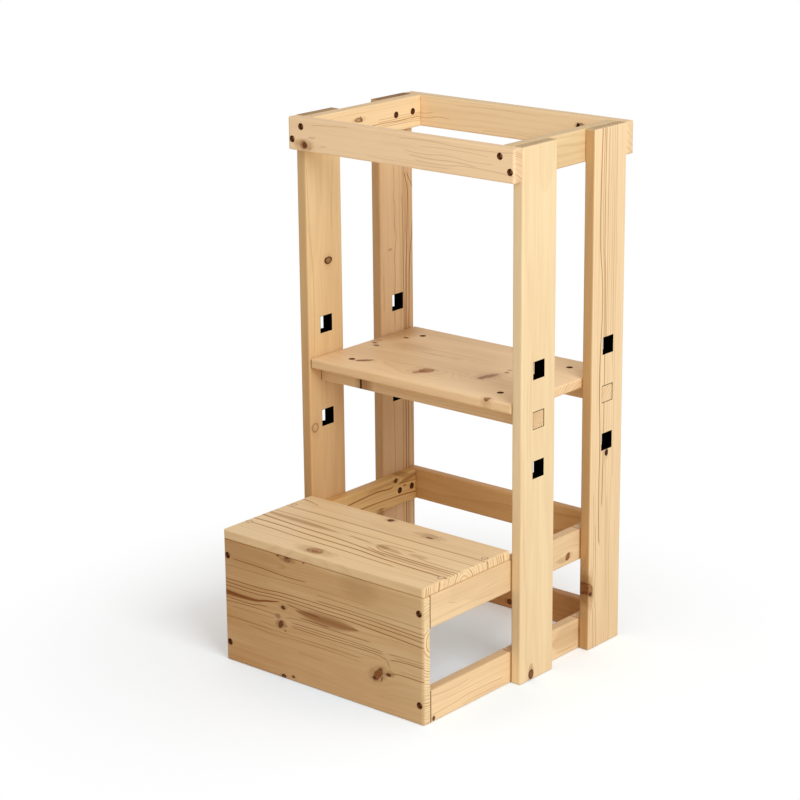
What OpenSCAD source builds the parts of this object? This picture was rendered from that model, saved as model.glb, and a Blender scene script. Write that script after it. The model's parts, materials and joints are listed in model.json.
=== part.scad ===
// Toddler kitchen helper stool in solid pine. A step box stands in front of a tower of four legs,
// a top frame serves as a handrail, and the platform rests on two square bars that pass through
// mortises in the legs. The origin is on the floor, below the middle of the whole stool.
// X runs to the child's right, Y from the step to the back, and Z up.

/* [Overall] */
// Width over the outer faces of the legs
width = 429; // [340:1:520]
// Height of the legs and the top frame
height = 808; // [700:1:950]
// Depth of the tower over the legs
tower_depth = 250; // [210:1:340]
// Depth of the step in front of the tower
step_depth = 200; // [150:1:280]
// Height of the step's upper face
step_height = 210; // [150:1:280]

/* [Boards] */
// Thickness of the legs and rails
frame_t = 18; // [16:0.5:24]
// Thickness of the riser, tread and platform
panel_t = 15; // [13:0.5:22]
// Width of each leg
leg_w = 80; // [60:1:95]
// Height of each rail
rail_h = 50; // [44:1:65]
// Radius of the eased edges of the boards
edge_r = 3; // [1:0.5:5]
// Radius of the step's two front corners, seen from above
corner_r = 6; // [3:0.5:7]
// Radius of the ends of the front and back top rails
rail_end_r = 5; // [3:0.5:8]

/* [Mortises and bars] */
// Side of the square bars that carry the platform
bar_size = 25; // [22:0.5:32]
// Play on each side of a bar in its mortise
bar_play = 0.5; // [0.25:0.05:1]
// Radius of the bars' edges
bar_edge_r = 1; // [0.5:0.25:3]
// Height of the lowest mortise's sill above the floor
lowest_sill = 316; // [290:1:340]
// Height from one mortise to the next
mortise_pitch = 75; // [50:1:90]
// Mortises in each leg
mortise_count = 3; // [3:1:4]
// Mortises that hold the bars
platform_mortise = "middle"; // [lower, middle, upper]

/* [Platform and step] */
// Gap between each end of the platform and the legs
platform_end_gap = 2; // [1:0.5:6]
// Set-back of the platform from the legs' front and back faces
platform_setback = 1; // [0.5:0.5:8]
// Gap between the tread and the front legs
tread_gap = 2; // [1:0.5:6]

/* [Screws] */
// Diameter of the screws' shanks
shank_d = 4; // [3:0.25:5]
// Diameter of the screws' heads
head_d = 8; // [7:0.25:9]
// Height of the screws' heads
head_h = 2.8; // [2:0.1:3.5]
// Diameter of the counterbores
counterbore_d = 10; // [9.5:0.25:12]
// Depth of the counterbores
counterbore_depth = 6; // [4:0.5:7]
// Play between a shank and its pilot hole, on the radius
pilot_play = 0.1; // [0.05:0.01:0.1]
// Length of the screws into end grain
end_screw_length = 40; // [30:1:45]
// Length of the screws from the side rails into the legs
side_screw_length = 25; // [20:1:27]
// Length of the screws from the platform into its bars
platform_screw_length = 30; // [20:1:30]
// Length of the screws from the tread into the step rails
tread_screw_length = 25; // [18:1:26]
// Diameter of the wooden plugs over the tread's screws
plug_d = 9; // [9:0.25:11]
// Thickness of the wooden plugs
plug_t = 4; // [2:0.5:5]
// Play between a plug and its hole, on the radius
plug_play = 0.1; // [0.05:0.05:0.2]

/* [Screw places] */
// Drop of the top frame's inner end screws below the top
inner_end_drop = 13; // [8:0.5:16]
// Drop of the top frame's outer end screws below the top
outer_end_drop = 33.5; // [32:0.5:40]
// Drop of the top side rails' screws below the top
top_side_drop = 24; // [22:0.5:26]
// Reach of each pair of side screws before and behind the middle of a leg
side_pair_reach = 20; // [12:1:25]
// Distance of the base's last side screws from the back rails
back_rail_clear = 12; // [8:1:20]
// Rise of the lower riser screws above the foot rails' middle
riser_screw_rise = 5; // [0:0.5:8]
// Rise of the back rails' screws above their middle
back_screw_rise = 12; // [9:0.5:15]
// Distance of the tread's screws from its front and back edges
tread_screw_inset = 49; // [30:1:60]
// Distance of the platform's screws from its ends
platform_screw_inset = 50; // [30:1:80]

/* [Hidden] */

// Colours
pine = "#E6C391";
pale_pine = "#EBCB9C";
zinc = "#6E655B";

// How far a cut runs past the face that it opens
overrun = 1;
// Facets of the eased edges, of the screws and of the bores
edge_facets = 24;
screw_facets = 32;

// Depths, from the riser's face to the back of the top frame
depth = step_depth + tower_depth + frame_t;
riser_face = -depth / 2;
tower_face = riser_face + step_depth;
tower_back = tower_face + tower_depth;
front_leg_y = tower_face + leg_w / 2;
back_leg_y = tower_back - leg_w / 2;

// Widths, from the middle outwards
leg_inner_x = width / 2 - frame_t;
leg_x = leg_inner_x + frame_t / 2;
rail_x = leg_inner_x - frame_t / 2;
rail_inner_x = leg_inner_x - frame_t;

// Heights
step_rail_top = step_height - panel_t;
step_rail_z = step_rail_top - rail_h / 2;
foot_rail_z = rail_h / 2;
top_rail_z = height - rail_h / 2;

// The base's side rails run from behind the riser to the back rails
base_rail_front = riser_face + panel_t;
base_rail_back = tower_back - frame_t;

// The mortises, and the platform on the bars that one level of them holds
mortise_size = bar_size + 2 * bar_play;
platform_level = platform_mortise == "lower" ? 0 : platform_mortise == "middle" ? 1 : 2;
bar_sill = lowest_sill + platform_level * mortise_pitch;
platform_z = bar_sill + bar_size + panel_t / 2;
platform_length = 2 * (leg_inner_x - platform_end_gap);
platform_depth = tower_depth - 2 * platform_setback;

// Screw heads and tips
head_rim_h = head_h * 0.6;
head_top_d = head_d * 0.75;
recess_depth = head_h * 0.7;
recess_length = head_d * 0.55;
recess_width = head_d * 0.16;
tip_length = 1.5 * shank_d;
pilot_r = shank_d / 2 + pilot_play;

// Outline of a board's section, with rounded corners
module rounded_rectangle(w, h, r) {
    square([w - 2 * r, h], center = true);
    square([w, h - 2 * r], center = true);
    for (x = [-1, 1], y = [-1, 1])
        translate([x * (w / 2 - r), y * (h / 2 - r)]) circle(r, $fn = edge_facets);
}

// A board about its middle, with all its edges eased
module board(size, r = edge_r) {
    intersection() {
        linear_extrude(size.z, center = true) rounded_rectangle(size.x, size.y, r);
        rotate([90, 0, 0]) linear_extrude(size.y, center = true) rounded_rectangle(size.x, size.z, r);
        rotate([90, 0, 90]) linear_extrude(size.x, center = true) rounded_rectangle(size.y, size.z, r);
    }
}

// A board with two rounder corners, seen from above: at its front for side -1, else at its back
module corner_board(size, side, r) {
    intersection() {
        board(size);
        translate([0, -side * r, 0]) linear_extrude(size.z, center = true)
            rounded_rectangle(size.x, size.y + 2 * r, r);
    }
}

// The same with the four corners of its face rounder too
module face_board(size, side, r) {
    intersection() {
        corner_board(size, side, r);
        rotate([90, 0, 0]) linear_extrude(size.y, center = true) rounded_rectangle(size.x, size.z, r);
    }
}

// A screw that stands on its head's seat at the origin, with the head upwards
module screw(length) {
    difference() {
        union() {
            cylinder(h = head_rim_h, d = head_d, $fn = screw_facets);
            translate([0, 0, head_rim_h])
                cylinder(h = head_h - head_rim_h, d1 = head_d, d2 = head_top_d, $fn = screw_facets);
        }
        translate([0, 0, head_h - recess_depth]) for (turn = [0, 90])
            rotate(turn) translate([-recess_length / 2, -recess_width / 2, 0])
                cube([recess_length, recess_width, recess_depth + overrun]);
    }
    translate([0, 0, tip_length - length])
        cylinder(h = length - tip_length, d = shank_d, $fn = screw_facets);
    translate([0, 0, -length]) cylinder(h = tip_length, d1 = 0, d2 = shank_d, $fn = screw_facets);
}

// The hole of such a screw: a wide bore over the seat and a pilot bore below it
module screw_hole(length, wide_d = counterbore_d, wide_depth = counterbore_depth) {
    cylinder(h = wide_depth + overrun, d = wide_d, $fn = screw_facets);
    translate([0, 0, -length - pilot_play])
        cylinder(h = length + 2 * pilot_play, r = pilot_r, $fn = screw_facets);
}

// Places of the screws. Each child is turned so that its head faces out of its board.
module at_top_rail_screws(front) {
    seat = depth_of_top_seat(front);
    for (side = [-1, 1]) {
        translate([side * rail_x, seat, height - inner_end_drop])
            rotate([front ? 90 : -90, 0, 0]) children();
        translate([side * leg_x, seat, height - outer_end_drop])
            rotate([front ? 90 : -90, 0, 0]) children();
    }
}

// Where the end screws of the front or back top rail seat, along Y
function depth_of_top_seat(front) =
    front ? tower_face - frame_t + counterbore_depth
          : tower_back + frame_t - counterbore_depth;

// Screws from the inner face of a side rail into the two legs on its side
module at_side_screws(side, z, places) {
    for (y = places)
        translate([side * (rail_inner_x + counterbore_depth), y, z])
            rotate([0, -side * 90, 0]) children();
}

top_side_places = [
    front_leg_y - side_pair_reach, front_leg_y + side_pair_reach,
    back_leg_y - side_pair_reach, back_leg_y + side_pair_reach
];
base_side_places = [
    front_leg_y - side_pair_reach, front_leg_y + side_pair_reach,
    back_leg_y - side_pair_reach, base_rail_back - back_rail_clear
];

module at_top_side_screws(side) {
    at_side_screws(side, height - top_side_drop, top_side_places) children();
}

module at_step_side_screws(side) {
    at_side_screws(side, step_rail_z, base_side_places) children();
}

module at_foot_side_screws(side) {
    at_side_screws(side, foot_rail_z, base_side_places) children();
}

module at_riser_screws() {
    for (side = [-1, 1], z = [step_rail_z, foot_rail_z + riser_screw_rise])
        translate([side * rail_x, riser_face + counterbore_depth, z])
            rotate([90, 0, 0]) children();
}

module at_base_back_screws() {
    for (side = [-1, 1], z = [step_rail_z, foot_rail_z])
        translate([side * rail_x, tower_back - counterbore_depth, z + back_screw_rise])
            rotate([-90, 0, 0]) children();
}

module at_platform_screws() {
    for (side = [-1, 1], y = [front_leg_y, back_leg_y])
        translate([
            side * (platform_length / 2 - platform_screw_inset), y,
            platform_z + panel_t / 2 - counterbore_depth
        ]) children();
}

module at_tread_screws() {
    for (side = [-1, 1], y = [riser_face + tread_screw_inset, tower_face - tread_gap - tread_screw_inset])
        translate([side * rail_x, y, step_height - plug_t - head_h]) children();
}

// A leg with its mortises, on the left for side -1 and on the right for side 1
module leg(side, y) {
    color(pine) difference() {
        translate([side * leg_x, y, height / 2]) board([frame_t, leg_w, height]);
        for (level = [0 : mortise_count - 1])
            translate([
                side * leg_x - frame_t / 2 - overrun, y - mortise_size / 2,
                lowest_sill + level * mortise_pitch
            ]) cube([frame_t + 2 * overrun, mortise_size, mortise_size]);
        at_top_rail_screws(y < back_leg_y) screw_hole(end_screw_length);
        at_top_side_screws(side) screw_hole(side_screw_length);
        at_step_side_screws(side) screw_hole(side_screw_length);
        at_foot_side_screws(side) screw_hole(side_screw_length);
    }
}

module leg_front_left() { leg(-1, front_leg_y); }
module leg_front_right() { leg(1, front_leg_y); }
module leg_back_left() { leg(-1, back_leg_y); }
module leg_back_right() { leg(1, back_leg_y); }

// The front and back top rails cross the legs' edges and cover the ends of the side rails
module top_end_rail(front) {
    y = front ? tower_face - frame_t / 2 : tower_back + frame_t / 2;
    color(pale_pine) difference() {
        translate([0, y, top_rail_z])
            face_board([width, frame_t, rail_h], front ? -1 : 1, rail_end_r);
        at_top_rail_screws(front) screw_hole(end_screw_length);
    }
}

module top_rail_front() { top_end_rail(true); }
module top_rail_back() { top_end_rail(false); }

module top_side_rail(side) {
    color(pale_pine) difference() {
        translate([side * rail_x, (tower_face + tower_back) / 2, top_rail_z])
            board([frame_t, tower_depth, rail_h]);
        at_top_rail_screws(true) screw_hole(end_screw_length);
        at_top_rail_screws(false) screw_hole(end_screw_length);
        at_top_side_screws(side) screw_hole(side_screw_length);
    }
}

module top_rail_left() { top_side_rail(-1); }
module top_rail_right() { top_side_rail(1); }

// A side rail of the base, inside the legs, from the riser to the back rails
module base_side_rail(side, z) {
    length = base_rail_back - base_rail_front;
    translate([side * rail_x, (base_rail_front + base_rail_back) / 2, z])
        board([frame_t, length, rail_h]);
}

module step_side_rail(side) {
    color(pine) difference() {
        base_side_rail(side, step_rail_z);
        at_riser_screws() screw_hole(end_screw_length);
        at_base_back_screws() screw_hole(end_screw_length);
        at_step_side_screws(side) screw_hole(side_screw_length);
        at_tread_screws() tread_screw_hole();
    }
}

module step_rail_left() { step_side_rail(-1); }
module step_rail_right() { step_side_rail(1); }

module foot_side_rail(side) {
    color(pine) difference() {
        base_side_rail(side, foot_rail_z);
        at_riser_screws() screw_hole(end_screw_length);
        at_base_back_screws() screw_hole(end_screw_length);
        at_foot_side_screws(side) screw_hole(side_screw_length);
    }
}

module foot_rail_left() { foot_side_rail(-1); }
module foot_rail_right() { foot_side_rail(1); }

// The back rails lie between the back legs, flush with their back faces
module base_back_rail(z) {
    color(pine) difference() {
        translate([0, tower_back - frame_t / 2, z]) board([2 * leg_inner_x, frame_t, rail_h]);
        at_base_back_screws() screw_hole(end_screw_length);
    }
}

module step_rail_back() { base_back_rail(step_rail_z); }
module foot_rail_back() { base_back_rail(foot_rail_z); }

// The riser closes the front of the step, and the tread lies on it and on the step rails
module riser_panel() {
    color(pine) difference() {
        translate([0, riser_face + panel_t / 2, step_rail_top / 2])
            corner_board([2 * leg_inner_x, panel_t, step_rail_top], -1, corner_r);
        at_riser_screws() screw_hole(end_screw_length);
    }
}

module step_tread() {
    length = step_depth - tread_gap;
    color(pale_pine) difference() {
        translate([0, riser_face + length / 2, step_height - panel_t / 2])
            corner_board([2 * leg_inner_x, length, panel_t], -1, corner_r);
        at_tread_screws() tread_screw_hole();
    }
}

// The tread's screws have a hole deep enough for the head and the plug over it
module tread_screw_hole() {
    screw_hole(tread_screw_length, plug_d + 2 * plug_play, head_h + plug_t);
}

module platform_board() {
    color(pale_pine) difference() {
        translate([0, (tower_face + tower_back) / 2, platform_z])
            board([platform_length, platform_depth, panel_t]);
        at_platform_screws() screw_hole(platform_screw_length);
    }
}

// A bar lies on the sills of its two mortises, with its ends flush with the legs' outer faces
module platform_bar(y) {
    color(pine) difference() {
        translate([0, y, bar_sill + bar_size / 2]) board([width, bar_size, bar_size], bar_edge_r);
        at_platform_screws() screw_hole(platform_screw_length);
    }
}

module platform_bar_front() { platform_bar(front_leg_y); }
module platform_bar_back() { platform_bar(back_leg_y); }

module top_rail_front_screws() { color(zinc) at_top_rail_screws(true) screw(end_screw_length); }
module top_rail_back_screws() { color(zinc) at_top_rail_screws(false) screw(end_screw_length); }
module top_rail_left_screws() { color(zinc) at_top_side_screws(-1) screw(side_screw_length); }
module top_rail_right_screws() { color(zinc) at_top_side_screws(1) screw(side_screw_length); }
module riser_screws() { color(zinc) at_riser_screws() screw(end_screw_length); }
module base_back_screws() { color(zinc) at_base_back_screws() screw(end_screw_length); }
module step_rail_left_screws() { color(zinc) at_step_side_screws(-1) screw(side_screw_length); }
module step_rail_right_screws() { color(zinc) at_step_side_screws(1) screw(side_screw_length); }
module foot_rail_left_screws() { color(zinc) at_foot_side_screws(-1) screw(side_screw_length); }
module foot_rail_right_screws() { color(zinc) at_foot_side_screws(1) screw(side_screw_length); }
module platform_screws() { color(zinc) at_platform_screws() screw(platform_screw_length); }
module tread_screws() { color(zinc) at_tread_screws() screw(tread_screw_length); }

// Plugs fill the tread's holes from the screw heads up to the tread's face
module tread_plugs() {
    color(pale_pine) at_tread_screws()
        translate([0, 0, head_h]) cylinder(h = plug_t, d = plug_d, $fn = screw_facets);
}

leg_front_left();
leg_front_right();
leg_back_left();
leg_back_right();
top_rail_front();
top_rail_back();
top_rail_left();
top_rail_right();
step_rail_left();
step_rail_right();
step_rail_back();
foot_rail_left();
foot_rail_right();
foot_rail_back();
riser_panel();
step_tread();
platform_board();
platform_bar_front();
platform_bar_back();
top_rail_front_screws();
top_rail_back_screws();
top_rail_left_screws();
top_rail_right_screws();
riser_screws();
base_back_screws();
step_rail_left_screws();
step_rail_right_screws();
foot_rail_left_screws();
foot_rail_right_screws();
platform_screws();
tread_screws();
tread_plugs();
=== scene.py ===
"""Finishes of a toddler kitchen helper stool in solid pine, with its screws and a plain studio."""

import json
import math
import random
from dataclasses import dataclass, field
from functools import reduce

import bpy
from mathutils import Matrix, Vector

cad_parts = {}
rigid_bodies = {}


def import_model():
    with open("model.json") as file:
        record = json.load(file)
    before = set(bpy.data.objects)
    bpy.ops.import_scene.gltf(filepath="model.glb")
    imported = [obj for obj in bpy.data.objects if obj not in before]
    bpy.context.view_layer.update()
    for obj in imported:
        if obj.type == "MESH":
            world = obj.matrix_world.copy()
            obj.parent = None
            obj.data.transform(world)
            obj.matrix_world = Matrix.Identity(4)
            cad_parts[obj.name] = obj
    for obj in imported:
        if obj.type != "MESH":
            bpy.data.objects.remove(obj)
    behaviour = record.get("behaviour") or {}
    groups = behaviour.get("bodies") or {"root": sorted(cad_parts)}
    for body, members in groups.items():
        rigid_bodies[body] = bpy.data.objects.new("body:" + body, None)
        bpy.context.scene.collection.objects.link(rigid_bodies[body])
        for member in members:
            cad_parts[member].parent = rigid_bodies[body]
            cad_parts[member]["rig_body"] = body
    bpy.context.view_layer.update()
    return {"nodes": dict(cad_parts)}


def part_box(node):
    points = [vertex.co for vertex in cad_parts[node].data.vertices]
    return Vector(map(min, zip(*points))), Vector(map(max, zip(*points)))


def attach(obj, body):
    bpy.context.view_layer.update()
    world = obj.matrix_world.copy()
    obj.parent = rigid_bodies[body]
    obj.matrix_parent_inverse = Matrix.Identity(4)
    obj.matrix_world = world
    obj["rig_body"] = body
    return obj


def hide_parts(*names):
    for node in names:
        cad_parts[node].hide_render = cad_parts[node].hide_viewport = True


bl_info = {
    "name": "Kitchen helper stool finishes",
    "version": (1, 0, 0),
    "blender": (4, 5, 0),
    "location": "3D View > Sidebar > Stool",
    "description": "Pine, screws and studio for a toddler kitchen helper stool",
    "category": "Object",
}

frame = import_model()

MM = 0.001
X, Y, Z = 0, 1, 2
AXES = (X, Y, Z)
NOISE_ROUGHNESS = 0.55


def linear(red, green, blue):
    """A colour read off as 0 to 255, as the linear values that shaders take"""
    top, knee, toe, lift, power = 255, 0.04045, 12.92, 0.055, 2.4
    shares = [value / top for value in (red, green, blue)]
    return tuple(
        share / toe if share <= knee else ((share + lift) / (1 + lift)) ** power
        for share in shares
    )


def colour_property(title, text, default):
    """A colour that the user can change"""
    return bpy.props.FloatVectorProperty(
        name=title, description=text, default=default, subtype="COLOR", size=3, min=0, max=1
    )


def length_property(title, text, default):
    """A length in metres that the user can change"""
    return bpy.props.FloatProperty(
        name=title, description=text, default=default, unit="LENGTH", subtype="DISTANCE",
        min=0, precision=5,
    )


def share_property(title, text, default):
    """A share from 0 to 1 that the user can change"""
    return bpy.props.FloatProperty(
        name=title, description=text, default=default, subtype="FACTOR", min=0, max=1
    )


class StoolWoodSettings(bpy.types.PropertyGroup):
    """Colours and surface of the pine"""

    pale: colour_property("Pale wood", "Palest early wood", linear(250, 221, 177))
    deep: colour_property("Deep wood", "Early wood of the darkest boards", linear(190, 136, 80))
    late: colour_property("Late wood", "Tint of a growth ring's dark side", linear(172, 126, 58))
    # Brown of streaks, patches and knot halos, also laid as painted shade in joints and some patches
    heart_and_shade: colour_property("Heart wood", "Tint of brown streaks", linear(170, 130, 64))
    core: colour_property("Knot", "Tint of a knot's middle", linear(170, 112, 0))
    rim: colour_property("Knot rim", "Bark ring round a knot", linear(78, 28, 0))
    # Tint of the narrow faces: partly the edge grain's own colour, partly painted shade
    edge: colour_property("Edges", "Tint over the narrow faces", linear(203, 177, 137))
    end: colour_property("End grain", "Tint over end grain", linear(172, 156, 146))
    # Painted shade in the counterbores and at the boards' butt ends, and the dark seam round each plug
    shade_and_seam: colour_property("Counterbore", "Walls of the screw holes", linear(120, 74, 46))
    # Black of the square holes' walls, also laid as painted shade on a thin rim round their mouths
    mortise: colour_property("Mortise", "Walls of the square holes", linear(4, 3, 3))
    roughness: share_property("Roughness", "Roughness of the planed faces", 0.5)
    relief: share_property("Relief", "Strength of the grain's relief", 0.35)


class StoolScrewSettings(bpy.types.PropertyGroup):
    """Sizes and colour of the wood screws"""

    metal: colour_property("Metal", "Bronzed steel", linear(214, 170, 112))
    pitch: length_property("Pitch", "From one turn of the thread to the next", 1.8 * MM)
    root: length_property("Root", "Radius at the root of the thread", 1.35 * MM)
    crest: length_property("Crest", "Radius at the crest of the thread", 1.95 * MM)


class StoolStageSettings(bpy.types.PropertyGroup):
    """Light and lens of the studio"""

    key: bpy.props.FloatProperty(
        name="Key light", description="Power of the large light", default=43, unit="POWER", min=0
    )
    sky: bpy.props.FloatProperty(
        name="Sky", description="Strength of the even light", default=0.53, min=0
    )
    lens: bpy.props.FloatProperty(
        name="Lens", description="Focal length in millimetres", default=107.6, min=1
    )


class Socket:
    """A shader's output. Arithmetic on it adds Math nodes."""

    def __init__(self, shader, socket):
        self.shader = shader
        self.socket = socket

    def math(self, operation, *others):
        """The result of one Math node on this value and the others"""
        values = dict(enumerate((self, *others)))
        return self.shader.node("ShaderNodeMath", {"operation": operation}, values)

    def reversed_math(self, operation, other):
        """The same with the other value first"""
        values = {0: other, 1: self}
        return self.shader.node("ShaderNodeMath", {"operation": operation}, values)

    def __add__(self, other):
        return self.math("ADD", other)

    def __radd__(self, other):
        return self.math("ADD", other)

    def __sub__(self, other):
        return self.math("SUBTRACT", other)

    def __rsub__(self, other):
        return self.reversed_math("SUBTRACT", other)

    def __mul__(self, other):
        return self.math("MULTIPLY", other)

    def __rmul__(self, other):
        return self.math("MULTIPLY", other)

    def __truediv__(self, other):
        return self.math("DIVIDE", other)

    def __abs__(self):
        return self.math("ABSOLUTE")

    def __pow__(self, other):
        return self.math("POWER", other)

    def root(self):
        """Square root"""
        return self.math("SQRT")

    def least(self, other):
        """The smaller of two values"""
        return self.math("MINIMUM", other)

    def most(self, other):
        """The larger of two values"""
        return self.math("MAXIMUM", other)

    def rise(self, low, high):
        """0 below low, 1 above high and a smooth rise between"""
        return self.shader.node(
            "ShaderNodeMapRange", {"interpolation_type": "SMOOTHSTEP"},
            {0: self, 1: low, 2: high, 3: 0.0, 4: 1.0},
        )

    def ramp(self, low, high, start, stop):
        """Straight from one value at low to another at high, and level beyond"""
        return self.shader.node(
            "ShaderNodeMapRange", {"interpolation_type": "LINEAR"},
            {0: self, 1: low, 2: high, 3: start, 4: stop},
        )


class Shader:
    """The nodes of a material or a world, built one by one"""

    def __init__(self, owner, output="ShaderNodeOutputMaterial"):
        owner.use_nodes = True
        self.owner = owner
        self.output = output
        self.tree = owner.node_tree
        self.tree.nodes.clear()

    def node(self, kind, settings, values, output=0):
        """Adds a node with its settings and the values or links of its sockets"""
        made = self.tree.nodes.new(kind)
        for name, setting in settings.items():
            if name == "points":
                draw_curve(made.mapping, setting)
            else:
                setattr(made, name, setting)
        for place, value in values.items():
            if isinstance(value, Socket):
                self.tree.links.new(value.socket, made.inputs[place])
            else:
                made.inputs[place].default_value = value
        return Socket(self, made.outputs[output])

    def position(self):
        """The place in the stool's frame, in millimetres"""
        place = self.node("ShaderNodeTexCoord", {}, {}, "Object")
        scale = (1 / MM,) * 3
        return self.node("ShaderNodeVectorMath", {"operation": "MULTIPLY"}, {0: place, 1: scale})

    def parts(self, vector):
        """The three numbers of a vector"""
        return [self.node("ShaderNodeSeparateXYZ", {}, {0: vector}, axis) for axis in AXES]

    def vector(self, x, y, z):
        """A vector from three numbers"""
        return self.node("ShaderNodeCombineXYZ", {}, {0: x, 1: y, 2: z})

    def noise(self, vector, periods, seed, detail):
        """Noise from about -1 to 1 that changes over these periods along each axis"""
        scale = tuple(1 / period for period in periods)
        scaled = self.node(
            "ShaderNodeVectorMath", {"operation": "MULTIPLY_ADD"},
            {0: vector, 1: scale, 2: (seed, seed, seed)},
        )
        share = self.node(
            "ShaderNodeTexNoise", {"noise_dimensions": "3D"},
            {"Vector": scaled, "Scale": 1.0, "Detail": detail, "Roughness": NOISE_ROUGHNESS},
        )
        return share * 2 - 1

    def blend(self, share, under, over, mode="MIX"):
        """Two colours mixed by a share"""
        settings = {"data_type": "RGBA", "blend_type": mode, "clamp_factor": True}
        return self.node("ShaderNodeMix", settings, {0: share, 6: under, 7: over}, 2)

    def end(self, surface):
        """Ends the tree in a surface and gives its material or world"""
        output = self.tree.nodes.new(self.output)
        self.tree.links.new(surface.socket, output.inputs["Surface"])
        return self.owner


def draw_curve(mapping, points):
    """Lays a node's curve through points whose places and levels run from 0 to 1"""
    curve = mapping.curves[0]
    for place, level in points[1:-1]:
        curve.points.new(place, level)
    curve.points[0].location = points[0]
    curve.points[-1].location = points[-1]
    mapping.update()


def opaque(colour):
    """A colour with full alpha"""
    return (*colour, 1.0)


@dataclass
class Knot:
    """A knot, in millimetres from the board's middle, and how strongly its parts show"""

    along: float
    across: float
    half_along: float
    half_across: float
    core: float
    rim: float
    halo: float
    slant: float = 0.0
    black: float = 0.0
    depth: float = 0.0
    half_depth: float = 0.0


@dataclass
class Streak:
    """A pointed brown streak along the grain, in millimetres from the board's middle"""

    along: float
    across: float
    half_length: float
    half_width: float
    slope: float
    strength: float


@dataclass
class Patch:
    """A soft darker patch, in millimetres from the board's middle"""

    along: float
    across: float
    half_along: float
    half_across: float
    strength: float


@dataclass
class Line:
    """A dark growth line through points, in millimetres from the board's middle"""

    points: tuple
    half_width: float
    strength: float
    tip: float = 1.0


@dataclass
class Board:
    """How a board was sawn from its log, in millimetres from the board's middle"""

    # The axes of its length and width, and what sets its noises apart from other boards'
    along: int
    across: int
    seed: float
    # How much of the deep colour it has
    shade: float
    # The log's middle across and through the board, the width of its rings, and how dark they are
    pith: tuple
    ring: float
    contrast: float
    # More of the deep colour towards the end where the length starts, which on the legs is painted
    # shade darker towards the floor, and a tint over the whole
    fade: float = 0.0
    tone: tuple = (1.0, 1.0, 1.0)
    # How alike the rings are, how far they wander, and a darker band's middle, half width and gain
    even: float = 0.2
    warp: float = 4.0
    sway: float = 3.0
    band: tuple = (0.0, 20.0, 0.0)
    # End grain's tint, shade and rings, and the tint of the narrow faces, which is partly their edge
    # grain and partly painted shade
    end: float = 0.2
    end_shade: float = 0.0
    end_rings: float = 0.25
    edge: float = 0.25
    # Shadows at the board's own ends and at places along it where others meet it
    butt: float = 0.0
    joints: tuple = ()
    knots: list = field(default_factory=list)
    streaks: list = field(default_factory=list)
    patches: list = field(default_factory=list)
    lines: list = field(default_factory=list)
    mortised: bool = False


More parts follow.
